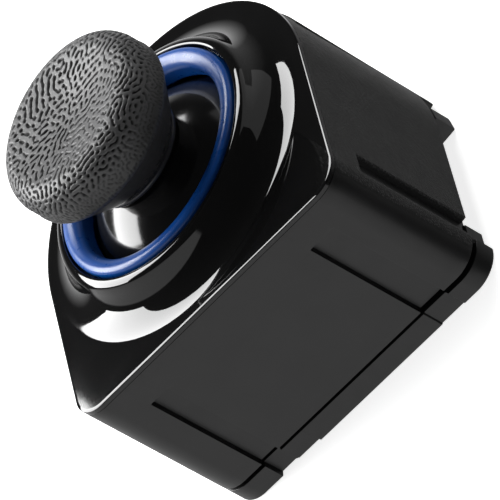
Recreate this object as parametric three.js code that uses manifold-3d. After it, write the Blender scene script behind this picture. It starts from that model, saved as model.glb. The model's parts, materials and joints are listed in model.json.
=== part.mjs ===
// Plug-in analog thumbstick module. Millimetres, +Z up, stick axis on Z, straight front wall towards -Y.
// The base's underside is z = 0 and the stick stands upright at rest.
import * as THREE from "three";
import { mergeVertices } from "three/addons/utils/BufferGeometryUtils.js";
import Module from "manifold-3d";

const wasm = await Module();
wasm.setup();

// ---- driving dimensions ----
const HALF = 17.5; // half the width, and the distance from the stick axis to the front wall
const BACK_Y = 0.5; // centre of the round back
const CORNER = 3; // front vertical corner radius
const DECK = 20.2; // top of the flat part of the faceplate
const PIVOT = DECK - 7; // height of both gimbal axes
const BASE_TOP = 2.4;
const SHELL_BOTTOM = 2.7;
const PLATE_BOTTOM = DECK - 0.5; // lower edge of the faceplate's side
const SHELL_TOP = PLATE_BOTTOM - 0.05;
const WALL = 1.6;
const GROOVE_TOP = DECK - 3.9;
const FRONT_GROOVES = [[-12.05, -9.85], [9.83, 12.8]];
const FRONT_GROOVE_DEPTH = 0.55;
const BASE_NOTCHES = [[-12.05, -9.85, 0.55], [9.83, 12.8, 0.15]]; // the grooves carried on into the base
const BASE_STEP = { x0: -10, x1: -6.9, depth: 0.3, high: 0.35 };
const SIDE_GROOVE = { y0: -14.2, y1: -11.9, depth: 0.7 };
const FLANGE_END = -11.8; // the base's front flange stops here on both sides
const LUG = [2.55, 4.4]; // side lugs of the base, along Y
const PANEL = { inner: 16.8, outerLow: 17.45, outerHigh: 17.65, start: 22.5, bottom: 0.3, top: DECK - 2.4 };
const HOLE_R = 11.75; // opening through the raised collar
const RING_R = 11.5; // outer radius of the accent ring
const LIP_R = 9.6; // inner radius of the accent ring
const DOME_R = 12.36; // outer radius of the dome, centred on the pivot
const DOME_WALL = 0.9;
const DOME_REACH = 64.6; // degrees from the stick axis to the dome's edge
const NECK_R = 4.95;
const CAP_R = 9.15;
const CAP_BOTTOM = DECK + 4.3;
const CAP_TOP = DECK + 13.6;
const SHAFT_R = 1.3;
const ARM_R = 3.2; // lower arm's barrel
const ARCH_IN = 3.9;
const ARCH_OUT = 5.1;
const AXLE_R = 1;
const FRAME_HALF = 6.3;
const FRAME_WALL = 0.6;
const FRAME_TOP = PIVOT + 5.95;
const POT = { inner: 6.45, outer: 9.35, half: 3.8, bottom: 4.7, top: PIVOT + 3.8 };
const BOARD = { bottom: 3.6, top: 4.6, inset: 2.4 };
const BOSSES = [[-13.9, -13.9], [13.9, -13.9], [-11.4, 9.7], [11.4, 9.7]];
const BOARD_SCREWS = [[-10.5, -8.5], [10.5, -8.5], [-7.6, 7.8], [7.6, 7.8]];
const CONTACTS = 6;
const CONTACT_PITCH = 1.8;
const CONTACT_Y = 11.4;
const ROUND = 48; // segments of the large turned shapes
const SMALL = 20; // segments of small round shapes
const DEG = Math.PI / 180;

// ---- shape helpers ----
function solid(geometry) {
  const bare = geometry.index ? geometry.toNonIndexed() : geometry;
  bare.deleteAttribute("normal");
  bare.deleteAttribute("uv");
  const merged = mergeVertices(bare, 1e-5);
  const mesh = new wasm.Mesh({
    numProp: 3,
    vertProperties: new Float32Array(merged.attributes.position.array),
    triVerts: new Uint32Array(merged.index.array),
  });
  return new wasm.Manifold(mesh);
}

function block(x0, x1, y0, y1, z0, z1) {
  const geometry = new THREE.BoxGeometry(x1 - x0, y1 - y0, z1 - z0);
  geometry.translate((x0 + x1) / 2, (y0 + y1) / 2, (z0 + z1) / 2);
  return solid(geometry);
}

// Round bar along an axis ("x", "y" or "z") from a to b, its centre line through (u, v).
function rod(axis, radius, a, b, u = 0, v = 0, segments = SMALL) {
  const geometry = new THREE.CylinderGeometry(radius, radius, b - a, segments);
  const middle = (a + b) / 2;
  if (axis === "x") {
    geometry.rotateZ(-Math.PI / 2).translate(middle, u, v);
  } else if (axis === "y") {
    geometry.translate(u, middle, v);
  } else {
    geometry.rotateX(Math.PI / 2).translate(u, v, middle);
  }
  return solid(geometry);
}

// Turned shape about Z from a closed [radius, height] outline, counter-clockwise when r is to the right.
function turned(outline, segments = ROUND) {
  const points = outline.map(([r, z]) => new THREE.Vector2(r, z));
  const onAxis = outline[0][0] === 0 && outline[outline.length - 1][0] === 0;
  if (!onAxis) points.push(points[0].clone());
  const geometry = new THREE.LatheGeometry(points, segments);
  geometry.rotateX(Math.PI / 2);
  return solid(geometry);
}

// Points of an arc in [radius, height], angles in degrees from the +radius direction.
function arc(cr, cz, radius, from, to, steps) {
  const points = [];
  for (let i = 0; i <= steps; i += 1) {
    const angle = (from + ((to - from) * i) / steps) * DEG;
    points.push([cr + radius * Math.cos(angle), cz + radius * Math.sin(angle)]);
  }
  return points;
}

// Points of an arc in plan, angles in degrees from +X.
function planArc(cx, cy, radius, from, to, steps) {
  return arc(cx, cy, radius, from, to, steps).map(([x, y]) => new THREE.Vector2(x, y));
}

// Plan outline of the module moved inwards by inset: straight front and sides, round back.
function planShape(inset) {
  const half = HALF - inset;
  const corner = Math.max(CORNER - inset, 0.4);
  const front = -HALF + inset;
  return new THREE.Shape([
    ...planArc(0, BACK_Y, half, 0, 180, 36),
    ...planArc(-half + corner, front + corner, corner, 180, 270, 6),
    ...planArc(half - corner, front + corner, corner, 270, 360, 6),
  ]);
}

function slab(shape, z0, z1) {
  const geometry = new THREE.ExtrudeGeometry(shape, { depth: z1 - z0, bevelEnabled: false });
  geometry.translate(0, 0, z0);
  return solid(geometry);
}

function polygon(points, z0, z1) {
  return slab(new THREE.Shape(points.map(([x, y]) => new THREE.Vector2(x, y))), z0, z1);
}

function sector(inner, outer, from, to, z0, z1) {
  const outside = planArc(0, BACK_Y, outer, from, to, 32);
  return slab(new THREE.Shape([...outside, ...planArc(0, BACK_Y, inner, to, from, 32)]), z0, z1);
}

function mirroredX(shape) {
  return shape.add(shape.mirror([1, 0, 0]));
}

// ---- outer case ----
function frontCut(x0, x1, depth, z0, z1) {
  return block(x0, x1, -HALF - 1, -HALF + depth, z0, z1);
}

function housingShell() {
  let shell = slab(planShape(0), SHELL_BOTTOM, SHELL_TOP);
  shell = shell.subtract(slab(planShape(WALL), 0, DECK));
  for (const [x, y] of BOSSES) {
    shell = shell.add(rod("z", 2.3, SHELL_BOTTOM, 11, x, y));
    shell = shell.subtract(rod("z", 0.8, 0, 9.4, x, y));
  }
  for (const [x0, x1] of FRONT_GROOVES) {
    shell = shell.subtract(frontCut(x0, x1, FRONT_GROOVE_DEPTH, 0, GROOVE_TOP));
  }
  const { y0, y1, depth } = SIDE_GROOVE;
  shell = shell.subtract(mirroredX(block(HALF - depth, HALF + 1, y0, y1, 0, GROOVE_TOP)));
  const first = PANEL.start - 0.2;
  const opening = sector(PANEL.inner - 0.05, HALF + 2, first, 180 - first, 0, PANEL.top + 0.05);
  return shell.subtract(opening);
}

// Curved panel whose outer face leans in a little towards the bottom.
function rearCover() {
  const { inner, outerLow, outerHigh, start, bottom, top } = PANEL;
  const ring = turned([[inner, bottom], [outerLow, bottom], [outerHigh, top], [inner, top]], 128);
  return ring.translate([0, BACK_Y, 0]).intersect(sector(10, 20, start, 180 - start, 0, DECK));
}

// Raised collar: a hollow curve rising from the flat deck to a rounded rim around the opening.
function collarOutline() {
  const foot = 3.9;
  const turn = 66;
  const rim = 0.9;
  const footR = 16.6;
  const rimTop = DECK + 3.4;
  const rimR = 11.97;
  return [
    [HOLE_R, PLATE_BOTTOM],
    [footR, PLATE_BOTTOM],
    ...arc(footR, DECK + foot, foot, -90, -90 - turn, 10),
    ...arc(rimR, rimTop - rim, rim, 90 - turn, 90, 5),
    [HOLE_R, rimTop - 0.2],
  ];
}

function faceplate() {
  const bevel = 0.25;
  const geometry = new THREE.ExtrudeGeometry(planShape(0), {
    depth: 1,
    bevelThickness: bevel,
    bevelSize: bevel,
    bevelOffset: -bevel,
    bevelSegments: 2,
  });
  geometry.translate(0, 0, DECK - 1 - bevel);
  let plate = solid(geometry).subtract(block(-20, 20, -20, 20, 0, PLATE_BOTTOM));
  const inside = slab(planShape(WALL + 0.15), PLATE_BOTTOM - 2, PLATE_BOTTOM + 0.2);
  const room = slab(planShape(WALL + 1.15), 0, PLATE_BOTTOM - 0.6).add(rod("z", 13, 0, DECK, 0, 0, ROUND));
  plate = plate.add(inside.subtract(room));
  plate = plate.add(turned(collarOutline()));
  return plate.subtract(rod("z", HOLE_R, 0, 30, 0, 0, ROUND));
}

function accentRing() {
  const clear = DOME_R + 0.39;
  const under = [11.2, 10.4, LIP_R].map((r) => [r, PIVOT + Math.sqrt(clear * clear - r * r)]);
  const outline = [
    [11.35, PLATE_BOTTOM - 0.8],
    [12.8, PLATE_BOTTOM - 0.8],
    [12.8, PLATE_BOTTOM - 0.1],
    [RING_R, PLATE_BOTTOM - 0.1],
    [RING_R, DECK + 3.15],
    [11.38, DECK + 3.5],
    [11.12, DECK + 3.72],
    [10.8, DECK + 3.8],
    [10.5, DECK + 3.72],
    [10.2, DECK + 3.5],
    [9.85, DECK + 3.12],
    [9.65, DECK + 2.85],
    [LIP_R, DECK + 2.65],
  ];
  return turned([...outline, ...under.reverse()]);
}

// ---- base ----
function baseCover() {
  const insetPlate = slab(planShape(2.3), 0, BASE_TOP);
  const lip = slab(planShape(WALL + 0.15), 2, 3.4).subtract(slab(planShape(WALL + 1.3), 0, 5));
  const full = slab(planShape(0), 0, BASE_TOP);
  const flange = full.intersect(block(-20, 20, -20, FLANGE_END, 0, 5));
  const lugs = full.intersect(block(-20, 20, LUG[0], LUG[1], 0, 5));
  const rear = sector(10, PANEL.inner - 0.05, PANEL.start, 180 - PANEL.start, 0, BASE_TOP);
  let base = insetPlate.add(lip).add(flange).add(lugs).add(rear);
  for (const [x0, x1, depth] of BASE_NOTCHES) {
    base = base.subtract(frontCut(x0, x1, depth, -1, 5));
  }
  base = base.subtract(frontCut(BASE_STEP.x0, BASE_STEP.x1, BASE_STEP.depth, -1, BASE_STEP.high));
  const inner = slab(planShape(WALL + 0.1), 0, 5);
  const leftCorner = block(-20, BASE_NOTCHES[0][0], -20, FLANGE_END, BASE_TOP - 0.1, 5);
  const rightCorner = block(BASE_NOTCHES[1][1], 20, -20, FLANGE_END, BASE_TOP - 0.25, 5);
  base = base.subtract(leftCorner.add(rightCorner).subtract(inner));
  const x = HALF - SIDE_GROOVE.depth;
  const notch = polygon([[x, -13.6], [HALF + 1, -16.7], [HALF + 1, -11], [x, -11]], -1, 5);
  base = base.subtract(mirroredX(notch));
  for (const [bx, by] of BOSSES) {
    base = base.subtract(rod("z", 2.6, BASE_TOP, 5, bx, by));
    base = base.subtract(rod("z", 0.95, -1, 5, bx, by));
    base = base.subtract(rod("z", 1.9, -1, 1.3, bx, by));
  }
  for (const [px, py] of BOARD_SCREWS) {
    base = base.add(rod("z", 1.6, 1, BOARD.bottom - 0.05, px, py));
    base = base.subtract(rod("z", 0.65, 1.2, 5, px, py));
  }
  const wide = (CONTACTS * CONTACT_PITCH) / 2 + 0.8;
  return base.subtract(block(-wide, wide, CONTACT_Y - 1.8, CONTACT_Y + 1.8, -1, 5));
}

// Cross-head screw on the Z axis: the flat of its head is at height 0 and the shank points up.
function screw(headR, headHigh, shankR, length) {
  const slot = headR * 0.35;
  const cut = headR * 0.7;
  const deep = headHigh * 0.4;
  let body = rod("z", headR, 0, headHigh).add(rod("z", shankR, 0.2, length, 0, 0, 12));
  body = body.subtract(block(-cut, cut, -slot / 2, slot / 2, -1, deep));
  return body.subtract(block(-slot / 2, slot / 2, -cut, cut, -1, deep));
}

function circuitBoard() {
  let board = slab(planShape(BOARD.inset), BOARD.bottom, BOARD.top);
  for (const [x, y] of BOSSES) board = board.subtract(rod("z", 2.6, 0, 10, x, y));
  for (const [x, y] of BOARD_SCREWS) board = board.subtract(rod("z", 0.7, 0, 10, x, y));
  for (const [x, y] of frameLegs()) board = board.subtract(block(x - 0.5, x + 0.5, y - 0.9, y + 0.9, 0, 10));
  return board;
}

function connectorBlock() {
  const wide = (CONTACTS * CONTACT_PITCH) / 2 + 0.5;
  let body = block(-wide, wide, CONTACT_Y - 1.5, CONTACT_Y + 1.5, 0.4, BOARD.bottom - 0.05);
  for (const x of contactPlaces()) body = body.subtract(rod("z", 0.5, 0, 5, x, CONTACT_Y, 12));
  return body;
}

function contactPlaces() {
  return Array.from({ length: CONTACTS }, (_, i) => (i - (CONTACTS - 1) / 2) * CONTACT_PITCH);
}

function contactPin() {
  const stem = rod("z", 0.45, 0.35, BOARD.bottom - 0.05, 0, 0, 12);
  return stem.add(rod("z", 0.3, 0.05, 0.5, 0, 0, 12));
}

// ---- gimbal ----
function frameLegs() {
  const x = FRAME_HALF - FRAME_WALL / 2;
  return [[-x, -4.8], [x, -4.8], [-x, 4.8], [x, 4.8]];
}

function gimbalFrame() {
  const h = FRAME_HALF;
  const w = FRAME_HALF - FRAME_WALL;
  let frame = block(-h, h, -h, h, BOARD.top + 0.1, FRAME_TOP);
  frame = frame.subtract(block(-w, w, -w, w, 0, FRAME_TOP - 0.5));
  frame = frame.subtract(rod("z", 3.7, 0, 30, 0, 0, 40));
  frame = frame.subtract(rod("x", AXLE_R + 0.08, -10, 10, 0, PIVOT));
  frame = frame.subtract(rod("y", AXLE_R + 0.08, -10, 10, 0, PIVOT));
  for (const [x, y] of frameLegs()) {
    frame = frame.add(block(x - 0.3, x + 0.3, y - 0.6, y + 0.6, BOARD.bottom - 0.4, BOARD.top + 1));
  }
  return frame;
}

function gimbalBase() {
  const h = FRAME_HALF - FRAME_WALL - 0.1;
  let base = block(-h, h, -h, h, BOARD.top + 0.1, 7.2);
  base = base.subtract(block(-3.3, 3.3, -3.3, 3.3, 0, 6.4));
  return base.subtract(rod("z", 1.8, 0, 10));
}

function springPlate() {
  const h = 5.3;
  const plate = block(-h, h, -h, h, PIVOT - 4.15, PIVOT - 3.55);
  return plate.subtract(rod("z", 2.7, 0, 20));
}

function returnSpring() {
  const turns = 2.5;
  const wire = 0.26;
  const low = 7.2 + wire + 0.03;
  const high = PIVOT - 4.15 - wire - 0.03;
  const points = [];
  for (let i = 0; i <= turns * 16; i += 1) {
    const angle = (i / 16) * 2 * Math.PI;
    const z = low + ((high - low) * i) / (turns * 16);
    points.push(new THREE.Vector3(4.3 * Math.cos(angle), 4.3 * Math.sin(angle), z));
  }
  const path = new THREE.CatmullRomCurve3(points);
  const section = new THREE.Shape().absarc(0, 0, wire, 0, 2 * Math.PI, false);
  const sweep = { steps: turns * 16, extrudePath: path, curveSegments: 3 };
  return solid(new THREE.ExtrudeGeometry(section, sweep));
}

function lowerArm() {
  let arm = rod("x", ARM_R, -4.2, 4.2, 0, PIVOT, 40);
  arm = arm.add(rod("x", AXLE_R, -6.9, 8.3, 0, PIVOT));
  arm = arm.subtract(block(-2.9, 2.9, -1.95, 1.95, 0, 30));
  return arm.subtract(rod("y", 0.88, -4, 4, 0, PIVOT));
}

function stickHub() {
  let hub = block(-2.2, 2.2, -1.7, 1.7, PIVOT - 2, PIVOT + 2);
  hub = hub.add(rod("y", 0.8, -2.9, 2.9, 0, PIVOT));
  return hub.subtract(rod("z", SHAFT_R + 0.06, 0, 30));
}

function upperArm() {
  const shape = new THREE.Shape();
  shape.moveTo(ARCH_OUT, -1.6);
  shape.absarc(0, 0, ARCH_OUT, 0, Math.PI, false);
  shape.lineTo(-ARCH_OUT, -1.6);
  shape.lineTo(-ARCH_IN, -1.6);
  shape.absarc(0, 0, ARCH_IN, Math.PI, 0, true);
  shape.lineTo(ARCH_IN, -1.6);
  shape.closePath();
  const geometry = new THREE.ExtrudeGeometry(shape, { depth: 6, bevelEnabled: false, curveSegments: 12 });
  geometry.translate(0, 0, -3).rotateX(Math.PI / 2).rotateZ(Math.PI / 2).translate(0, 0, PIVOT);
  let arm = solid(geometry).intersect(rod("y", 5.25, -8, 8, 0, PIVOT, 40));
  arm = arm.add(rod("y", AXLE_R, -6.9, -ARCH_IN - 0.4, 0, PIVOT));
  arm = arm.add(rod("y", AXLE_R, ARCH_IN + 0.4, 8.3, 0, PIVOT));
  return arm.subtract(block(-SHAFT_R - 0.15, SHAFT_R + 0.15, -2.7, 2.7, PIVOT + 3, 30));
}

// Potentiometer on the +X side; the +Y one is the same shape turned a quarter.
function potHousing() {
  let body = block(POT.inner, POT.outer, -POT.half, POT.half, POT.bottom, POT.top);
  body = body.subtract(rod("x", 2.7, POT.inner + 0.4, POT.outer - 0.6, 0, PIVOT));
  return body.subtract(rod("x", AXLE_R + 0.25, 0, POT.inner + 1, 0, PIVOT));
}

function potRotor() {
  const disc = rod("x", 2.4, 7, 8.25, 0, PIVOT, 32);
  const fin = block(7.6, 8.2, -0.5, 0.5, PIVOT + 2.2, PIVOT + 2.6);
  return disc.add(fin).subtract(rod("x", AXLE_R + 0.02, 6, 9, 0, PIVOT));
}

function switchBody() {
  const body = block(-3, 3, -3, 3, BOARD.top + 0.05, 6.1);
  return body.subtract(rod("z", 2.6, 5.35, 7));
}

function switchDome() {
  const outline = [[0, 5.55], [1.4, 5.5], [2.3, 5.38], [2.3, 5.44], [1.4, 5.6], [0, 5.66]];
  return turned(outline, 32);
}

function switchPlunger() {
  const cup = 3.75;
  const r = 1.7;
  const rimZ = PIVOT - Math.sqrt(cup * cup - r * r);
  const midZ = PIVOT - Math.sqrt(cup * cup - 0.85 * 0.85);
  const foot = [[0, 6.12], [2.35, 6.12], [2.35, 6.32], [r, 6.32]];
  return turned([...foot, [r, rimZ], [0.85, midZ], [0, PIVOT - cup]], 32);
}

// ---- stick ----
function stickShaft() {
  const tip = 3.6;
  const side = PIVOT - Math.sqrt(tip * tip - SHAFT_R * SHAFT_R);
  const middle = PIVOT - Math.sqrt(tip * tip - 0.65 * 0.65);
  const top = DECK + 10.1;
  const ball = [[0, PIVOT - tip], [0.65, middle], [SHAFT_R, side]];
  return turned([...ball, [SHAFT_R, top - 0.3], [1, top], [0, top]], SMALL);
}

function domeSkirt() {
  const neckAngle = 90 - Math.asin(NECK_R / DOME_R) / DEG;
  const edge = 90 - DOME_REACH;
  const inner = DOME_R - DOME_WALL;
  const bossR = 3;
  const bossAngle = 90 - Math.asin(bossR / inner) / DEG;
  const bore = SHAFT_R + 0.02;
  return turned([
    ...arc(0, PIVOT, inner, bossAngle, edge, 10),
    ...arc(0, PIVOT, DOME_R, edge, neckAngle, 12),
    [NECK_R - 0.35, CAP_BOTTOM + 0.1],
    [4.2, CAP_BOTTOM + 0.4],
    [4.2, DECK + 7.5],
    [bore, DECK + 7.5],
    [bore, PIVOT + 9.6],
    [bossR, PIVOT + 9.6],
  ]);
}

function capCore() {
  const outline = [[SHAFT_R + 0.02, DECK + 7.6], [6.2, DECK + 7.6], [6.4, DECK + 7.8], [6.4, DECK + 10.4]];
  return turned([...outline, [6.2, DECK + 10.6], [SHAFT_R + 0.02, DECK + 10.6]], 40);
}

function thumbCap() {
  const rimTurn = 2;
  const dish = 0.85;
  const dishR = 7;
  const hollow = [[6.45, DECK + 10.65], [6.45, DECK + 7.55], [4.25, DECK + 7.55], [4.25, CAP_BOTTOM + 0.45]];
  const outline = [
    [0, DECK + 10.65],
    ...hollow,
    [NECK_R - 0.25, CAP_BOTTOM + 0.15],
    [NECK_R + 0.1, CAP_BOTTOM + 0.12],
    [5.6, DECK + 5.1],
    [6.9, DECK + 6.6],
    [8.1, DECK + 8.0],
    [8.75, DECK + 8.75],
    [9.05, DECK + 9.25],
    [CAP_R, DECK + 9.9],
    [9.08, DECK + 11.2],
    ...arc(CAP_R - 0.1 - rimTurn, CAP_TOP - rimTurn, rimTurn, 8, 90, 7),
    [dishR - 1.2, CAP_TOP - dish * 0.28],
    [dishR - 3, CAP_TOP - dish * 0.68],
    [dishR - 5.2, CAP_TOP - dish * 0.95],
    [0, CAP_TOP - dish],
  ];
  return turned(outline);
}

// ---- assembly ----
// Colour, roughness and metalness of each kind of surface.
const LOOKS = {
  housing: [0x1a1a1a, 0.6, 0],
  satin: [0x161616, 0.4, 0],
  gloss: [0x0c0c0c, 0.08, 0],
  blue: [0x0a58a8, 0.25, 0.2],
  rubber: [0x202020, 0.7, 0],
  board: [0x1c4a2e, 0.5, 0],
  pale: [0xb8b4aa, 0.5, 0],
  sensor: [0x1c4a38, 0.5, 0],
  steel: [0xa6a6a8, 0.35, 1],
  brass: [0xd2a24c, 0.3, 1],
  black: [0x141414, 0.5, 0],
};

function piece(name, shape, look) {
  const result = shape.getMesh();
  const geometry = new THREE.BufferGeometry();
  geometry.setAttribute("position", new THREE.BufferAttribute(new Float32Array(result.vertProperties), 3));
  geometry.setIndex(new THREE.BufferAttribute(new Uint32Array(result.triVerts), 1));
  const [color, roughness, metalness] = LOOKS[look];
  const mesh = new THREE.Mesh(geometry, new THREE.MeshStandardMaterial({ color, roughness, metalness }));
  mesh.name = name;
  return mesh;
}

// One mesh for each [x, y] place, numbered from 1.
function copies(name, makeShape, look, places, z) {
  return places.map(([x, y], i) => {
    const mesh = piece(`${name}_${i + 1}`, makeShape(), look);
    mesh.position.set(x, y, z);
    return mesh;
  });
}

function quarterTurned(mesh) {
  mesh.rotation.z = Math.PI / 2;
  return mesh;
}

function group(name, ...members) {
  const made = new THREE.Group();
  made.name = name;
  made.add(...members);
  return made;
}

const outerCase = group(
  "outer_case",
  piece("housing_shell", housingShell(), "housing"),
  piece("rear_cover", rearCover(), "satin"),
  piece("faceplate", faceplate(), "gloss"),
  piece("accent_ring", accentRing(), "blue"),
  piece("base_cover", baseCover(), "satin"),
  ...copies("base_screw", () => screw(1.7, 1, 0.75, 8.8), "steel", BOSSES, 0.2),
);

const boardScrew = () => screw(1.2, 0.7, 0.6, 4);
const boardScrews = copies("board_screw", boardScrew, "steel", BOARD_SCREWS, BOARD.top + 0.75);
for (const mesh of boardScrews) mesh.rotation.x = Math.PI;

const electronics = group(
  "electronics",
  piece("circuit_board", circuitBoard(), "board"),
  ...boardScrews,
  piece("connector_block", connectorBlock(), "black"),
  ...copies("contact_pin", contactPin, "brass", contactPlaces().map((x) => [x, CONTACT_Y]), 0),
  piece("pot_x_housing", potHousing(), "sensor"),
  quarterTurned(piece("pot_y_housing", potHousing(), "sensor")),
  piece("switch_body", switchBody(), "black"),
  piece("switch_dome", switchDome(), "steel"),
);

const gimbal = group(
  "gimbal",
  piece("gimbal_frame", gimbalFrame(), "steel"),
  piece("gimbal_base", gimbalBase(), "pale"),
  piece("return_spring", returnSpring(), "steel"),
  piece("spring_plate", springPlate(), "pale"),
  group("rocker", piece("lower_arm", lowerArm(), "pale"), piece("rotor_x", potRotor(), "black")),
  group("arch", piece("upper_arm", upperArm(), "pale"), quarterTurned(piece("rotor_y", potRotor(), "black"))),
  piece("switch_plunger", switchPlunger(), "pale"),
);

const stick = group(
  "stick",
  piece("stick_hub", stickHub(), "pale"),
  piece("stick_shaft", stickShaft(), "steel"),
  piece("dome_skirt", domeSkirt(), "gloss"),
  piece("cap_core", capCore(), "black"),
  piece("thumb_cap", thumbCap(), "rubber"),
);

export default group("thumbstick_module", outerCase, electronics, gimbal, stick);
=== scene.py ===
"""Looks of the plug-in thumbstick module: fine meshes, procedural materials, studio and camera.

Sizes below are millimetres in the part's own frame: stick axis on Z, flat front wall towards -Y.
"""

import json
import math

import bmesh
import bpy
import numpy as np
from mathutils import Matrix, Vector


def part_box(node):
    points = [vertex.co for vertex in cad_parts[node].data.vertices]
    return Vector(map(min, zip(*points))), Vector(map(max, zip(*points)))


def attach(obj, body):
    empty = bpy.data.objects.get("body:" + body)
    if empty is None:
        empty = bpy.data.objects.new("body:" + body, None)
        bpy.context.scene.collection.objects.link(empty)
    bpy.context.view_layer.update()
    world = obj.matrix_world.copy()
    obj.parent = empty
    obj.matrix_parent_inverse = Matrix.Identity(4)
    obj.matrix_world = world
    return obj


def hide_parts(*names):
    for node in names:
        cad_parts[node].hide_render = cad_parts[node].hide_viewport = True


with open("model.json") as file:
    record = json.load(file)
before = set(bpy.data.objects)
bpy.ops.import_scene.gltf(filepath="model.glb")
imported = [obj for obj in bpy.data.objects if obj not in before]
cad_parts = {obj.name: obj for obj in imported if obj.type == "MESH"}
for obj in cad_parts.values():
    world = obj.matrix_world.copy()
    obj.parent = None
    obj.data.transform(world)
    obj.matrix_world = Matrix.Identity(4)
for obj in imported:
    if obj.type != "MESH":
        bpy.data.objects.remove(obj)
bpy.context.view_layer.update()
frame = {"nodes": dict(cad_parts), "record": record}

MM = 0.001
scene = bpy.context.scene


def extent(node):
    """Lowest and highest corner of a CAD node, in millimetres."""
    low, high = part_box(node)
    return low / MM, high / MM


# ---- driving dimensions, from the frame ----
PLATE_LOW, PLATE_HIGH = extent("faceplate")
SHELL_LOW, SHELL_HIGH = extent("housing_shell")
PANEL_LOW, PANEL_HIGH = extent("rear_cover")
CAP_LOW, CAP_HIGH = extent("thumb_cap")
HALF = PLATE_HIGH.x
BACK_Y = PLATE_HIGH.y - HALF
CORNER = 3
RIM_RISE = 3.4
DECK = PLATE_HIGH.z - RIM_RISE
PIVOT = DECK - 7
PLATE_BOTTOM = DECK - 0.5
WALL = 1.6
EDGE = 0.12  # rounding of moulded outer edges
SEAM_EDGE = 0.05
EDGE_STEPS = (-0.11, -0.07, -0.035, 0, 0.035, 0.07, 0.11)  # extra points across the edge of a recess
SHARP_ANGLE = 32  # degrees: steeper edges stay sharp in the shading
FRONT_GROOVES = [(-12.05, -9.85), (9.83, 12.8)]
FRONT_GROOVE_DEPTH = 0.55
SIDE_GROOVE = (-14.2, -11.9)
SIDE_GROOVE_DEPTH = 0.7
GROOVE_TOP = DECK - 3.9
PANEL_START = 22.5  # degrees from +X about the round back's centre
PANEL_INNER = 16.8
PANEL_LEAN = 0.2  # how far the rear panel leans in towards its bottom
PANEL_SEAT = HALF - PANEL_INNER + 0.05
FLANGE_END = -11.8
LUG = (2.55, 4.4)
BASE_NOTCHES = [(*FRONT_GROOVES[0], 0.55), (*FRONT_GROOVES[1], 0.15)]
FIT = 0.15  # gap between the case wall and what sits inside it
DOME_R = 12.36
NECK_R = 4.95
CAP_R = CAP_HIGH.x
CAP_TOP = CAP_HIGH.z
CAP_BOTTOM = CAP_LOW.z


# ---- outline helpers ----
def arc(cr, cz, radius, start, end, steps):
    """Points (r, z) of an arc, angles in degrees from the +r direction."""
    angles = np.radians(np.linspace(start, end, steps + 1))
    return [(cr + radius * math.cos(a), cz + radius * math.sin(a)) for a in angles]


def rounded(radius):
    """Inset and rise of a quarter-round edge, from its flat end face outwards."""
    turns = np.linspace(0, math.pi / 2, 5)
    return [(radius * (1 - math.sin(a)), radius * (1 - math.cos(a))) for a in turns]


def ramp(value, edge, width):
    """0 below edge, 1 above it, smooth over width."""
    t = np.clip((value - edge) / width + 0.5, 0, 1)
    return t * t * (3 - 2 * t)


def window(value, low, high, width=0.16):
    return ramp(value, low, width) - ramp(value, high, width)


def clustered(low, high, edges, spacing=1.5):
    """Positions from low to high with extra ones round each edge."""
    count = max(int(round((high - low) / spacing)), 1)
    places = list(np.linspace(low, high, count + 1))
    for edge in edges:
        places += [edge + d for d in EDGE_STEPS]
    kept = []
    for place in sorted(p for p in places if low <= p <= high):
        if not kept or place - kept[-1] > 0.02:
            kept.append(place)
    if kept[-1] < high:
        kept.append(high)
    return kept


def plan_outline(front_edges=(), side_edges=(), back_edges=()):
    """Points and outward normals of the module's outline in plan, counter-clockwise from the right side."""
    points, normals = [], []

    def add(x, y, nx, ny):
        points.append((x, y))
        normals.append((nx, ny))

    def turn(cx, cy, radius, angles):
        for degrees in angles:
            c, s = math.cos(math.radians(degrees)), math.sin(math.radians(degrees))
            add(cx + radius * c, cy + radius * s, c, s)

    low = -HALF + CORNER
    scale = 180 / math.pi / HALF
    back = list(np.linspace(0, 180, 91)[:-1])
    for edge in back_edges:
        back += [edge + d * scale for d in EDGE_STEPS]
    back = sorted(back)
    turn(0, BACK_Y, HALF, [a for i, a in enumerate(back) if i == 0 or a - back[i - 1] > 0.05])
    sides = clustered(low, BACK_Y, side_edges)
    for y in sides[:0:-1]:
        add(-HALF, y, -1, 0)
    turn(low, low, CORNER, np.linspace(180, 270, 31)[:-1])
    for x in clustered(low, -low, front_edges)[:-1]:
        add(x, -HALF, 0, -1)
    turn(-low, low, CORNER, np.linspace(270, 360, 31)[:-1])
    for y in sides[:-1]:
        add(HALF, y, 1, 0)
    return np.array(points), np.array(normals)


def plan_ring(outline, inset, z):
    """A ring of the outline moved inwards by inset (one number, or one for each point) at height z."""
    points, normals = outline
    moved = points - normals * np.reshape(inset, (-1, 1)) * np.ones((len(points), 1))
    return np.column_stack([moved, np.full(len(moved), z)])


def circle_ring(outline, radius, z):
    """A circle about the stick axis whose points lie on the same spokes as the outline's."""
    points = outline[0]
    directions = points / np.linalg.norm(points, axis=1, keepdims=True)
    return np.column_stack([directions * radius, np.full(len(points), z)])


# ---- mesh helpers ----
def new_piece(name, vertices, faces):
    mesh = bpy.data.meshes.new(name)
    mesh.from_pydata([tuple(Vector(v) * MM) for v in vertices], [], faces)
    bm = bmesh.new()
    bm.from_mesh(mesh)
    bmesh.ops.remove_doubles(bm, verts=bm.verts, dist=1e-7)
    bmesh.ops.recalc_face_normals(bm, faces=bm.faces)
    bm.to_mesh(mesh)
    bm.free()
    piece = bpy.data.objects.new(name, mesh)
    scene.collection.objects.link(piece)
    return piece


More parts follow.
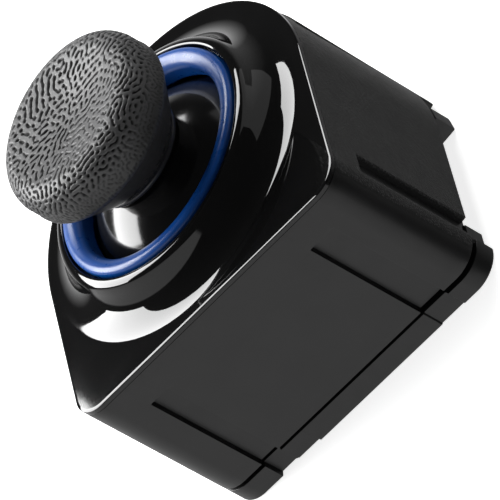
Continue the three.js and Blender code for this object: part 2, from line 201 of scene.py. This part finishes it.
def loft(name, rings, closed=True):
    """Skin over rings with equal point counts. A closed loft joins the last ring to the first."""
    count = len(rings[0])
    vertices = np.concatenate(rings)
    pairs = len(rings) if closed else len(rings) - 1
    faces = []
    for k in range(pairs):
        a, b = k * count, ((k + 1) % len(rings)) * count
        for i in range(count):
            j = (i + 1) % count
            faces.append((a + i, a + j, b + j, b + i))
    if not closed:
        faces.append(tuple(range(count))[::-1])
        faces.append(tuple(range((len(rings) - 1) * count, len(rings) * count)))
    return new_piece(name, vertices, faces)


def turned(name, outline, segments=256):
    """Turned shape about Z from an (r, z) outline that closes on itself or starts and ends on the axis."""
    angles = np.arange(segments) * 2 * math.pi / segments
    spokes = np.column_stack([np.cos(angles), np.sin(angles)])
    rings = [np.column_stack([spokes * r, np.full(segments, z)]) for r, z in outline]
    return loft(name, rings)


def block(name, low, high):
    x0, y0, z0 = low
    x1, y1, z1 = high
    rings = [np.array([(x0, y0, z), (x1, y0, z), (x1, y1, z), (x0, y1, z)]) for z in (z0, z1)]
    return loft(name, rings, closed=False)


def rod(name, x, y, radius, z0, z1, segments=48):
    angles = np.arange(segments) * 2 * math.pi / segments
    ring = np.column_stack([x + radius * np.cos(angles), y + radius * np.sin(angles)])
    rings = [np.column_stack([ring, np.full(segments, z)]) for z in (z0, z1)]
    return loft(name, rings, closed=False)


def apply_modifiers(piece):
    bpy.context.view_layer.update()
    evaluated = piece.evaluated_get(bpy.context.evaluated_depsgraph_get())
    made = bpy.data.meshes.new_from_object(evaluated)
    piece.modifiers.clear()
    old = piece.data
    piece.data = made
    bpy.data.meshes.remove(old)


def combine(piece, tool, operation):
    """Joins or cuts piece by tool, which is used up."""
    modifier = piece.modifiers.new("combine", "BOOLEAN")
    modifier.operation = operation
    modifier.solver = "EXACT"
    modifier.object = tool
    apply_modifiers(piece)
    bpy.data.objects.remove(tool)


def smooth(piece, angle=SHARP_ANGLE):
    piece.data.shade_smooth()
    piece.data.set_sharp_from_angle(angle=math.radians(angle))
    weighted = piece.modifiers.new("weighted_normals", "WEIGHTED_NORMAL")
    weighted.keep_sharp = True


def stand_for(piece, body, slot, material, *nodes):
    """The piece rides on body, replaces the CAD nodes and takes the material it is given."""
    piece.data.materials.clear()
    piece.data.materials.append(material)
    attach(piece, body)
    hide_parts(*nodes)


# ---- material helpers ----
class Nodes:
    """Short calls that build one node material."""

    def __init__(self, name):
        self.material = bpy.data.materials.new(name)
        self.material.use_nodes = True
        self.tree = self.material.node_tree
        self.shader = self.tree.nodes["Principled BSDF"]
        self.place = self.add("ShaderNodeTexCoord").outputs["Object"]

    def add(self, kind, **inputs):
        node = self.tree.nodes.new(kind)
        for key, value in inputs.items():
            node.inputs[key.replace("_", " ")].default_value = value
        return node

    def link(self, source, target):
        self.tree.links.new(source, target)

    def noise(self, scale, detail=2.0, roughness=0.5):
        """Noise with features of about 1/scale millimetres."""
        node = self.add("ShaderNodeTexNoise", Scale=scale / MM, Detail=detail, Roughness=roughness)
        self.link(self.place, node.inputs["Vector"])
        return node.outputs["Fac"]

    def voronoi(self, scale):
        """Distance to the nearest of scattered points, about 1/scale millimetres apart."""
        node = self.add("ShaderNodeTexVoronoi", Scale=scale / MM)
        self.link(self.place, node.inputs["Vector"])
        return node.outputs["Distance"]

    def remap(self, source, low, high, out_low, out_high):
        """Maps low..high to out_low..out_high and stops at both ends."""
        node = self.add("ShaderNodeMapRange")
        ends = {"From Min": low, "From Max": high, "To Min": out_low, "To Max": out_high}
        for key, value in ends.items():
            node.inputs[key].default_value = value
        self.link(source, node.inputs["Value"])
        return node.outputs["Result"]

    def math(self, operation, a, b):
        node = self.add("ShaderNodeMath")
        node.operation = operation
        for socket, value in zip(node.inputs, (a, b)):
            if isinstance(value, (int, float)):
                socket.default_value = value
            else:
                self.link(value, socket)
        return node.outputs["Value"]

    def axis(self, letter):
        """One object coordinate, in millimetres."""
        node = self.add("ShaderNodeSeparateXYZ")
        self.link(self.place, node.inputs["Vector"])
        return self.math("DIVIDE", node.outputs[letter], MM)

    def mix(self, factor, first, second):
        node = self.tree.nodes.new("ShaderNodeMix")
        node.data_type = "RGBA"
        for index, value in ((0, factor), (6, first), (7, second)):
            if isinstance(value, (int, float)):
                node.inputs[index].default_value = value
            elif isinstance(value, tuple):
                node.inputs[index].default_value = (*value, 1)
            else:
                self.link(value, node.inputs[index])
        return node.outputs[2]

    def colour(self, source):
        if isinstance(source, tuple):
            self.shader.inputs["Base Color"].default_value = (*source, 1)
        else:
            self.link(source, self.shader.inputs["Base Color"])

    def roughness(self, source):
        self.link(source, self.shader.inputs["Roughness"])

    def bump(self, height, strength, depth):
        """Bump from a height from 0 to 1, with depth in millimetres. Later calls add to earlier ones."""
        node = self.add("ShaderNodeBump", Strength=strength, Distance=depth * MM)
        self.link(height, node.inputs["Height"])
        earlier = self.shader.inputs["Normal"].links
        if earlier:
            self.link(earlier[0].from_socket, node.inputs["Normal"])
        self.link(node.outputs["Normal"], self.shader.inputs["Normal"])


def grey(value):
    return (value, value, value * 1.02)


def gloss_black(name, base, rough, peel):
    """Polished black moulding with faint orange peel and an uneven polish."""
    n = Nodes(name)
    n.colour(n.mix(n.noise(0.25), grey(base), grey(base * 1.5)))
    smear = n.noise(0.12, detail=4, roughness=0.6)
    n.roughness(n.remap(smear, 0.3, 0.75, rough, rough * 1.9))
    n.bump(n.noise(0.7, detail=1), peel, 0.004)
    n.shader.inputs["IOR"].default_value = 1.5
    return n.material


def moulded_plastic(name, base, rough, grain=6.0, depth=0.02, strength=0.5):
    """Plain moulded plastic: fine pitted surface, slightly uneven gloss and colour."""
    n = Nodes(name)
    low = tuple(c * 0.8 for c in base)
    high = tuple(min(c * 1.25, 1) for c in base)
    n.colour(n.mix(n.remap(n.noise(0.35, detail=4), 0.3, 0.7, 0, 1), low, high))
    n.roughness(n.remap(n.noise(0.8, detail=3), 0.3, 0.7, rough * 0.88, rough * 1.12))
    n.bump(n.noise(grain, detail=2), strength, depth)
    return n.material


# ---- materials of the seen pieces ----
def housing_material():
    """Smooth satin on the front wall and in the grooves, coarse spark-eroded grain on the sides and back."""
    n = Nodes("textured_housing")
    across = n.math("ABSOLUTE", n.axis("X"), 0)
    behind = n.remap(n.axis("Y"), SIDE_GROOVE[1] - 0.05, SIDE_GROOVE[1] + 0.05, 0, 1)
    before = n.remap(n.axis("Y"), -HALF + 0.9, -HALF + 1.5, 0, 1)
    skin = n.remap(across, HALF - 0.35, HALF - 0.2, 0, 1)
    side = n.math("MAXIMUM", behind, n.math("MULTIPLY", before, skin))
    coarse = n.noise(4.2, detail=2, roughness=0.6)
    speck = n.remap(n.voronoi(5.0), 0.0, 0.55, 1, 0)
    grain = n.math("ADD", n.math("MULTIPLY", coarse, 0.6), n.math("MULTIPLY", speck, 0.4))
    plain = n.mix(n.remap(n.noise(0.3, detail=3), 0.3, 0.7, 0, 1), grey(0.005), grey(0.008))
    rough = n.mix(n.remap(grain, 0.35, 0.7, 0, 1), grey(0.004), grey(0.045))
    n.colour(n.mix(side, plain, rough))
    smooth_part = n.remap(n.noise(0.5, detail=3), 0.3, 0.7, 0.34, 0.4)
    n.roughness(n.math("ADD", smooth_part, n.math("MULTIPLY", side, 0.08)))
    n.bump(n.noise(9.0, detail=2), 0.12, 0.01)
    n.bump(n.math("MULTIPLY", grain, side), 1.0, 0.12)
    return n.material


def base_material():
    return moulded_plastic("base_plastic", grey(0.007), 0.4, grain=9.0, depth=0.008, strength=0.3)


def panel_material():
    return moulded_plastic("rear_panel_plastic", grey(0.005), 0.33, grain=8.0, depth=0.006, strength=0.3)


def ring_material():
    n = Nodes("blue_accent")
    tint = n.remap(n.noise(0.3, detail=2), 0.3, 0.7, 0, 1)
    n.colour(n.mix(tint, (0.0005, 0.055, 0.27), (0.001, 0.07, 0.33)))
    n.roughness(n.remap(n.noise(1.2, detail=3), 0.3, 0.7, 0.26, 0.34))
    n.bump(n.noise(2.5, detail=2), 0.1, 0.006)
    return n.material


def rubber_material():
    """Black rubber: the leather grain is in the mesh; finer pores, painted shade in its creases and a
    painted lighter top are here.
    """
    n = Nodes("grained_rubber")
    hollow = n.add("ShaderNodeAttribute")
    hollow.attribute_name = "hollow"
    hollow.attribute_type = "GEOMETRY"
    depth = hollow.outputs["Fac"]
    # painted light: the top of the cap is coloured lighter than its side, on top of a random mottle
    lit_top = n.remap(n.axis("Z"), CAP_TOP - 3.5, CAP_TOP - 0.8, 0, 1)
    patchy = n.remap(n.noise(0.4, detail=4), 0.3, 0.7, 0, 1)
    mottle_and_lit_top = n.mix(lit_top, grey(0.025), n.mix(patchy, grey(0.06), grey(0.09)))
    # painted shade: the creases are coloured near black by their depth
    n.colour(n.mix(depth, mottle_and_lit_top, grey(0.001)))
    polish = n.remap(n.noise(1.5, detail=4), 0.3, 0.7, 0.35, 0.43)
    grainy = n.math("ADD", polish, n.math("MULTIPLY", depth, 0.45))
    moulded = n.remap(n.axis("Z"), CAP_BOTTOM + 0.6, CAP_BOTTOM + 2.6, 0.3, 1.0)
    n.roughness(n.math("MULTIPLY", grainy, moulded))
    n.bump(n.math("MULTIPLY", n.noise(7.0, detail=3, roughness=0.6), moulded), 0.45, 0.03)
    return n.material


# ---- thumb cap ----
def worm_map(width, count, spacing, seed):
    """Square map over width millimetres: 1 in short winding creases, 0 on the flat skin between them."""
    field = np.random.default_rng(seed).standard_normal((count, count))
    wave = np.fft.fftfreq(count, width / count)
    radius = np.hypot(*np.meshgrid(wave, wave, indexing="ij"))
    band = np.exp(-(((radius * spacing - 1) / 0.28) ** 2))
    for _ in range(3):
        field = np.fft.ifft2(np.fft.fft2(field) * band).real
        field = np.tanh(2 * field / field.std())
    field = np.fft.ifft2(np.fft.fft2(field) * band).real
    return ramp(field / field.std(), 0.8, 0.6)


def sample(image, width, x, y):
    """Bilinear value of a wrapping square map of the given width at points in millimetres."""
    count = len(image)
    u, v = x / width * count, y / width * count
    i, j = np.floor(u).astype(int), np.floor(v).astype(int)
    fu, fv = u - i, v - j
    a = image[i % count, j % count] * (1 - fu) + image[(i + 1) % count, j % count] * fu
    b = image[i % count, (j + 1) % count] * (1 - fu) + image[(i + 1) % count, (j + 1) % count] * fu
    return a * (1 - fv) + b * fv


def cap_outline():
    """Skin of the cap from the middle of the dish, over the rim and down the cone to the neck's bead."""
    rim_turn = 2.0
    dish = 0.85
    dish_r = 7.0
    rim_r = CAP_R - 0.1 - rim_turn
    step = 0.09
    points = [(r, CAP_TOP - dish * (1 - (r / dish_r) ** 2) ** 1.4) for r in np.arange(0.001, dish_r, step)]
    points += arc(rim_r, CAP_TOP - rim_turn, rim_turn, 90, 4, 34)
    side_top = points[-1][1]
    points += [(CAP_R - 0.05, z) for z in np.arange(side_top - step, DECK + 10.2, -step)]
    points += arc(CAP_R - 1.3, DECK + 9.9, 1.3, 0, -48, 12)
    cone_r, cone_z = points[-1]
    bead = 0.34
    bead_r, bead_z = NECK_R + 0.12, CAP_BOTTOM + 0.12 + bead
    turn = math.radians(-48)
    foot_r, foot_z = bead_r + bead * math.cos(turn), bead_z + 0.35 + bead * math.sin(turn)
    for t in np.linspace(0, 1, 24)[1:]:
        points.append((cone_r + (foot_r - cone_r) * t, cone_z + (foot_z - cone_z) * t))
    return points + arc(bead_r, bead_z, bead, 30, -92, 14)


def build_cap():
    """Rubber cap: the grain is pressed into the mesh, coarse on the dish and finer down the side."""
    segments = 640
    coarse_depth, fine_depth = 0.15, 0.05
    skin = cap_outline()
    bore, hollow_r = 4.3, 6.45
    ledge, ceiling = DECK + 7.6, DECK + 10.6
    inner = [(bore, CAP_BOTTOM + 0.2), (bore, ledge), (hollow_r, ledge)]
    inner += [(hollow_r, ceiling), (0.001, ceiling)]
    cap = turned("cap_cover", skin + inner, segments)
    mesh = cap.data
    count = len(mesh.vertices)
    place = np.empty(count * 3, np.float32)
    mesh.vertices.foreach_get("co", place)
    place = place.reshape(-1, 3) / MM
    normal = np.empty(count * 3, np.float32)
    mesh.vertices.foreach_get("normal", normal)
    normal = normal.reshape(-1, 3)
    radius = np.maximum(np.hypot(place[:, 0], place[:, 1]), 1e-6)
    top = ramp(place[:, 2], CAP_TOP - 2.2, 1.6)
    side = ramp(place[:, 2], DECK + 9.3, 1.2)
    outside = (place[:, 2] > ceiling + 0.1) | (radius > hollow_r + 0.15)
    unrolled = np.maximum(radius + np.clip(CAP_TOP - place[:, 2], 0, 9) * (radius > 7.05), 1e-6) / radius
    x, y = place[:, 0] * unrolled, place[:, 1] * unrolled
    grain = math.radians(29)
    u = (x * math.cos(grain) + y * math.sin(grain)) / 1.35
    v = y * math.cos(grain) - x * math.sin(grain)
    width = 32
    coarse = sample(worm_map(width, 1024, 0.6, 4), width, u, v)
    fine = sample(worm_map(width, 1024, 0.42, 9), width, u, v)
    depth = outside * (coarse_depth * coarse * top + fine_depth * fine * side * (1 - top))
    mesh.vertices.foreach_set("co", ((place - normal * depth[:, None]) * MM).astype(np.float32).ravel())
    # crease depth kept as an attribute, used for the painted shade in the creases
    hollow = mesh.attributes.new("hollow", "FLOAT", "POINT")
    hollow.data.foreach_set("value", (coarse * top + 0.6 * fine * side * (1 - top)).astype(np.float32))
    mesh.update()
    smooth(cap, 75)
    stand_for(cap, "stick", "cap_rubber", rubber_material(), "thumb_cap")


# ---- dome ----
def build_dome():
    wall = 0.9
    neck = 90 - math.degrees(math.asin(NECK_R / DOME_R))
    edge = 90 - 64.6
    inner = DOME_R - wall
    boss = 90 - math.degrees(math.asin(3 / inner))
    outline = arc(0, PIVOT, inner, boss, edge, 40)
    outline += arc(0, PIVOT, DOME_R, edge, neck, 48)
    outline += [(NECK_R - 0.4, CAP_BOTTOM + 0.15), (4.2, CAP_BOTTOM + 0.4), (4.2, DECK + 7.5)]
    outline += [(1.32, DECK + 7.5), (1.32, PIVOT + 9.6), (3, PIVOT + 9.6)]
    dome = turned("dome_cover", outline)
    smooth(dome)
    stand_for(dome, "stick", "gloss_dome", gloss_black("gloss_dome", 0.004, 0.085, 0.25), "dome_skirt")


# ---- accent ring ----
def build_ring():
    outer, lip = 11.5, 9.6
    clear = DOME_R + 0.39
    crest_r, crest_turn = 10.85, 0.62
    crest_z = DECK + 3.8 - crest_turn
    outline = [(11.35, PLATE_BOTTOM - 0.8), (12.8, PLATE_BOTTOM - 0.8), (12.8, PLATE_BOTTOM - 0.1)]
    outline += [(outer, PLATE_BOTTOM - 0.1), (outer, crest_z - 0.15)]
    outline += arc(crest_r, crest_z, crest_turn, 20, 90, 18)
    for degrees in np.linspace(90, 180, 26)[1:]:
        a = math.radians(degrees)
        outline.append((crest_r + (crest_r - lip) * math.cos(a), DECK + 2.66 + 1.14 * math.sin(a)))
    for r in np.linspace(lip + 0.05, 11.2, 14):
        outline.append((r, PIVOT + math.sqrt(clear * clear - r * r)))
    ring = turned("accent_band", outline, 320)
    smooth(ring)
    stand_for(ring, "case", "blue_ring", ring_material(), "accent_ring")


# ---- faceplate ----
def build_faceplate():
    """Flat gloss deck with a rounded edge, rising in a hollow curve to the collar round the stick."""
    outline = plan_outline()
    crown, crown_turn, edge = 0.9, 19, 0.09
    hole = 11.75
    foot, foot_r, lean = 3.9, 16.6, 66
    rim, rim_r = 0.9, 11.97
    inner = WALL + FIT
    lean_end = math.radians(crown_turn)
    shoulder = DECK - crown * (1 - math.cos(lean_end))
    rings = [plan_ring(outline, 0, PLATE_BOTTOM)]
    for degrees in np.linspace(0, 90 - crown_turn, 9):
        a = math.radians(degrees)
        drop = edge * (math.cos(lean_end) - math.sin(a))
        rings.append(plan_ring(outline, edge * (1 - math.cos(a)), shoulder - drop))
    outer_inset = edge * (1 - math.sin(lean_end))
    for degrees in np.linspace(90 - crown_turn, 90, 9)[1:]:
        a = math.radians(degrees)
        across = crown * (math.cos(math.radians(90 - crown_turn)) - math.cos(a))
        rings.append(plan_ring(outline, outer_inset + across, DECK - crown * (1 - math.sin(a))))
    profile = [(foot_r, DECK)] + arc(foot_r, DECK + foot, foot, -90, -90 - lean, 36)[1:]
    profile += arc(rim_r, DECK + RIM_RISE - rim, rim, 90 - lean, 92, 16)
    profile += [(hole + 0.05, DECK + RIM_RISE - 0.03), (hole, DECK + RIM_RISE - 0.1), (hole, PLATE_BOTTOM)]
    rings += [circle_ring(outline, r, z) for r, z in profile]
    rings += [plan_ring(outline, inner + 1, PLATE_BOTTOM), plan_ring(outline, inner + 1, PLATE_LOW.z)]
    rings += [plan_ring(outline, inner, PLATE_LOW.z), plan_ring(outline, inner, PLATE_BOTTOM)]
    plate = loft("face_cover", rings)
    smooth(plate)
    stand_for(plate, "case", "gloss_face", gloss_black("gloss_face", 0.003, 0.022, 0.06), "faceplate")


# ---- housing, base and rear panel ----
def build_housing():
    """Side walls with their moulded grooves and the seat of the rear panel."""
    front = [x for groove in FRONT_GROOVES for x in groove]
    outline = plan_outline(front, SIDE_GROOVE, (PANEL_START - 0.2, 180.2 - PANEL_START))
    points = outline[0]
    x, y = points[:, 0], points[:, 1]
    on_front = y < -HALF + 1e-6
    on_side = (np.abs(x) > HALF - 1e-6) & (y < BACK_Y)
    angle = np.degrees(np.arctan2(y - BACK_Y, x))

    def depth(z):
        low = 1 - ramp(z, GROOVE_TOP, 0.16)
        cut = sum(window(x, a, b) for a, b in FRONT_GROOVES) * on_front * FRONT_GROOVE_DEPTH * low
        cut = cut + window(y, *SIDE_GROOVE) * on_side * SIDE_GROOVE_DEPTH * low
        span = window(angle, PANEL_START - 0.2, 180.2 - PANEL_START, 0.5) * (y > BACK_Y)
        return cut + span * PANEL_SEAT * (1 - ramp(z, PANEL_HIGH.z + 0.05, 0.16))

    bottom, top = SHELL_LOW.z, SHELL_HIGH.z
    rings = []
    for inset, rise in rounded(SEAM_EDGE):
        rings.append(plan_ring(outline, depth(bottom) + inset, bottom + rise))
    for z in clustered(bottom + EDGE, top - EDGE, (GROOVE_TOP, PANEL_HIGH.z + 0.05), 1.2)[1:-1]:
        rings.append(plan_ring(outline, depth(z), z))
    for inset, drop in rounded(0.02)[::-1]:
        rings.append(plan_ring(outline, depth(top) + inset, top - drop))
    rings.append(plan_ring(outline, WALL, top))
    rings.append(plan_ring(outline, WALL, bottom))
    shell = loft("case_wall", rings)
    smooth(shell)
    stand_for(shell, "case", "housing_plastic", housing_material(), "housing_shell")


def build_base():
    """Base tray: flange along the front, a lug on each side, notches, screw wells and the contact window."""
    recess = 2.3
    step, step_depth = (-9.9, -6.9), 0.3
    left_drop, right_drop = 0.1, 0.25
    lug_angles = [math.degrees(math.asin((y - BACK_Y) / HALF)) for y in LUG]
    back_edges = [a for angle in (*lug_angles, PANEL_START) for a in (angle, 180 - angle)]
    front = [x for notch in BASE_NOTCHES for x in notch[:2]] + [step[1]]
    outline = plan_outline(front, (-13.6, FLANGE_END), back_edges)
    x, y = outline[0][:, 0], outline[0][:, 1]
    on_front = y < -HALF + 1e-6
    angle = np.degrees(np.arctan2(y - BACK_Y, x))
    folded = np.where(angle > 90, 180 - angle, angle)
    lug_span = window(folded, lug_angles[0], lug_angles[1], 0.4) * (y > BACK_Y)
    back_span = ramp(folded, PANEL_START, 0.4) * (y > BACK_Y)
    inset = recess * ramp(y, FLANGE_END, 0.1) * (1 - lug_span) * (1 - back_span) + PANEL_SEAT * back_span
    inset = inset + sum(window(x, a, b) * deep for a, b, deep in BASE_NOTCHES) * on_front
    side = np.abs(x) > HALF - 1e-6
    inset = np.maximum(inset, side * (y < BACK_Y) * SIDE_GROOVE_DEPTH * ramp(y, -13.9, 0.5))
    low_step = step_depth * window(x, *step) * on_front
    left = 1 - ramp(x, BASE_NOTCHES[0][0], 0.2)
    right = ramp(x, BASE_NOTCHES[1][1], 0.2)
    corner_drop = (y < FLANGE_END) * (left_drop * left + right_drop * right)
    top = SHELL_LOW.z - 0.3
    rings = [plan_ring(outline, inset + low_step + i, rise) for i, rise in rounded(EDGE)]
    rings += [plan_ring(outline, inset + low_step, 0.3), plan_ring(outline, inset, 0.4)]
    for i, drop in rounded(SEAM_EDGE)[::-1]:
        rings.append(plan_ring(outline, inset + i, top - drop - corner_drop))
    inner = WALL + FIT
    rings += [plan_ring(outline, np.maximum(inset + 0.1, inner - 0.02), top - corner_drop)]
    rings += [plan_ring(outline, np.maximum(inset + 0.2, inner + 0.3), top)]
    tray = loft("base_tray", rings, closed=False)
    plain = plan_outline()
    lip_low, lip_high, lip_inner = 2, 3.4, inner + 1.15
    section = [(inner, lip_low), (inner, lip_high), (lip_inner, lip_high), (lip_inner, lip_low)]
    lip = [plan_ring(plain, inset, z) for inset, z in section]
    combine(tray, loft("lip", lip), "UNION")
    for node in [f"base_screw_{i}" for i in range(1, 5)]:
        low, high = extent(node)
        px, py = (low.x + high.x) / 2, (low.y + high.y) / 2
        combine(tray, rod("well", px, py, 1.9, -1, 1.3), "DIFFERENCE")
        combine(tray, rod("hole", px, py, 0.95, -2, 6), "DIFFERENCE")
    low, high = extent("connector_block")
    room = 0.3
    slot = block("slot", (low.x - room, low.y - room, -1), (high.x + room, high.y + room, 5))
    combine(tray, slot, "DIFFERENCE")
    smooth(tray)
    stand_for(tray, "case", "base_plastic", base_material(), "base_cover")


def build_panel():
    """Curved rear cover that stands a little proud of the housing."""
    outer = PANEL_HIGH.y - BACK_Y
    low, high = PANEL_LOW.z, PANEL_HIGH.z
    turn = 0.16

    def section(shrink):
        r0, r1, z0, z1 = PANEL_INNER + shrink, outer - shrink, low + shrink, high - shrink
        points = arc(r1 - turn - PANEL_LEAN, z0 + turn, turn, -90, 0, 5)
        points += arc(r1 - turn, z1 - turn, turn, 0, 90, 5)
        return points + [(r0, z1), (r0, z0)]

    rings = []
    stops = [(0, turn), (0.15, turn * 0.4), (0.5, 0)]
    sweep = 180 - 2 * PANEL_START
    plain = [(a, 0) for a in np.linspace(1, sweep - 1, 90)]
    ends = [(sweep - a, shrink) for a, shrink in stops[::-1]]
    for offset, shrink in stops + plain + ends:
        a = math.radians(PANEL_START + offset)
        ring = [(r * math.cos(a), BACK_Y + r * math.sin(a), z) for r, z in section(shrink)]
        rings.append(np.array(ring))
    panel = loft("rear_panel", rings, closed=False)
    smooth(panel)
    stand_for(panel, "case", "rear_plastic", panel_material(), "rear_cover")


# ---- carried-over CAD nodes ----
def finish_inner_nodes():
    """Inner pieces keep their CAD shape and get smooth shading and a material for each slot."""
    metal_slots = {"frame_steel": (0.55, 0.55, 0.56), "spring_steel": (0.6, 0.6, 0.61),
                   "shaft_steel": (0.5, 0.5, 0.51), "screw_steel": (0.16, 0.16, 0.165),
                   "contact_brass": (0.83, 0.6, 0.24)}
    slots = {row["node"]: row["material_slot"] for row in frame["record"]["subparts"]}
    colours = {row["slot"]: tuple(row["base_color"][:3]) for row in frame["record"]["materials"]}
    made = {}
    for name, node in frame["nodes"].items():
        if node.hide_render:
            continue
        slot = slots[name]
        if slot not in made and slot in metal_slots:
            made[slot] = inner_metal(slot, metal_slots[slot])
        elif slot not in made:
            made[slot] = moulded_plastic(slot + "_look", colours[slot], 0.45)
        node.data.materials.clear()
        node.data.materials.append(made[slot])
        node.data.shade_smooth()
        node.data.set_sharp_from_angle(angle=math.radians(SHARP_ANGLE))


def inner_metal(slot, colour):
    n = Nodes(slot + "_look")
    n.shader.inputs["Metallic"].default_value = 1.0
    n.colour(n.mix(n.noise(0.5, detail=3), tuple(c * 0.85 for c in colour), colour))
    n.roughness(n.remap(n.noise(2.0, detail=4), 0.3, 0.7, 0.24, 0.42))
    n.bump(n.noise(6.0, detail=2), 0.3, 0.01)
    return n.material


# ---- studio ----
def direction(azimuth, elevation):
    """Unit vector; azimuth 0 is in front of the flat wall (-Y) and 90 is to its right (+X)."""
    a, e = math.radians(azimuth), math.radians(elevation)
    return Vector((math.sin(a) * math.cos(e), -math.cos(a) * math.cos(e), math.sin(e)))


def softbox(name, azimuth, elevation, roll, width, height, radiance, distance=0.6):
    """Rectangular light aimed at the object, width and height in degrees as seen from it."""
    data = bpy.data.lights.new(name, "AREA")
    data.shape = "RECTANGLE"
    data.size = 2 * distance * math.tan(math.radians(width / 2))
    data.size_y = 2 * distance * math.tan(math.radians(height / 2))
    data.energy = radiance * math.pi * data.size * data.size_y
    lamp = bpy.data.objects.new(name, data)
    scene.collection.objects.link(lamp)
    out = direction(azimuth, elevation)
    aim = Vector((0, 0, DECK * MM))
    turn = out.to_track_quat("Z", "Y").to_matrix().to_4x4() @ Matrix.Rotation(math.radians(roll), 4, "Z")
    lamp.matrix_world = Matrix.Translation(aim + out * distance) @ turn


def build_world():
    """White to the camera. As light it is dim, with soft bright patches low round the object."""
    world = bpy.data.worlds.new("studio")
    scene.world = world
    world.use_nodes = True
    tree = world.node_tree
    tree.nodes.clear()
    place = tree.nodes.new("ShaderNodeTexCoord")
    dim = 0.06
    patches = [(-45, -35, 0.39, 0.43, 0.94), (150, -35, 0.5, 0.8, 0.24), (205, -12, 0.82, 0.95, 1.0)]
    light = None
    # outer and inner are cosines of the angle from a patch's middle, where its edge starts and ends
    for azimuth, elevation, outer, inner, radiance in patches:
        dot = tree.nodes.new("ShaderNodeVectorMath")
        dot.operation = "DOT_PRODUCT"
        dot.inputs[1].default_value = direction(azimuth, elevation)
        edge = tree.nodes.new("ShaderNodeMapRange")
        edge.inputs["From Min"].default_value = outer
        edge.inputs["From Max"].default_value = inner
        edge.inputs["To Max"].default_value = radiance
        total = tree.nodes.new("ShaderNodeMath")
        total.inputs[1].default_value = dim
        tree.links.new(place.outputs["Generated"], dot.inputs[0])
        tree.links.new(dot.outputs["Value"], edge.inputs["Value"])
        tree.links.new(edge.outputs["Result"], total.inputs[0])
        if light:
            tree.links.new(light, total.inputs[1])
        light = total.outputs["Value"]
    path = tree.nodes.new("ShaderNodeLightPath")
    choose = tree.nodes.new("ShaderNodeMix")
    choose.data_type = "FLOAT"
    choose.inputs["B"].default_value = 1.0
    background = tree.nodes.new("ShaderNodeBackground")
    output = tree.nodes.new("ShaderNodeOutputWorld")
    tree.links.new(path.outputs["Is Camera Ray"], choose.inputs["Factor"])
    tree.links.new(light, choose.inputs["A"])
    tree.links.new(choose.outputs["Result"], background.inputs["Strength"])
    tree.links.new(background.outputs["Background"], output.inputs["Surface"])


def build_floor():
    reach = 3.0
    mesh = bpy.data.meshes.new("floor")
    corners = [(-reach, -reach, 0), (reach, -reach, 0), (reach, reach, 0), (-reach, reach, 0)]
    mesh.from_pydata(corners, [], [(0, 1, 2, 3)])
    floor = bpy.data.objects.new("floor", mesh)
    scene.collection.objects.link(floor)
    n = Nodes("pale_floor")
    n.colour(n.mix(n.noise(0.02, detail=2), (0.8, 0.8, 0.8), (0.84, 0.84, 0.84)))
    n.roughness(n.remap(n.noise(0.05), 0.3, 0.7, 0.8, 0.9))
    n.shader.inputs["Emission Color"].default_value = (1, 1, 1, 1)
    path = n.tree.nodes.new("ShaderNodeLightPath")
    n.link(n.math("MULTIPLY", path.outputs["Is Camera Ray"], 0.8), n.shader.inputs["Emission Strength"])
    mesh.materials.append(n.material)
    floor.visible_glossy = False


def build_studio():
    build_world()
    build_floor()
    softbox("left_back_light", -116.5, 36.5, -35, 45, 33, 13, distance=3)
    softbox("back_light", 178, 50, 15, 28, 20, 11)
    softbox("right_card", 116, 19, 0, 52, 36, 0.45)
    scene.view_settings.view_transform = "Standard"


def build_camera():
    """Long lens from the front right and above, rolled so that the stick leans to the upper left."""
    azimuth, elevation, roll = 28.76, 32.43, 60.64
    distance = 0.6386
    aim = Vector((0.23, -5.56, DECK - 7.85)) * MM
    data = bpy.data.cameras.new("camera")
    data.lens = 504.1
    data.sensor_width = 36
    camera = bpy.data.objects.new("camera", data)
    scene.collection.objects.link(camera)
    out = direction(azimuth, elevation)
    upright = (-out).to_track_quat("-Z", "Y").to_matrix().to_4x4()
    turn = upright @ Matrix.Rotation(math.radians(-roll), 4, "Z")
    camera.matrix_world = Matrix.Translation(aim + out * distance) @ turn
    data.clip_start, data.clip_end = 0.01, 20
    scene.camera = camera


build_camera()
build_studio()
build_cap()
build_dome()
build_ring()
build_faceplate()
build_housing()
build_base()
build_panel()
finish_inner_nodes()
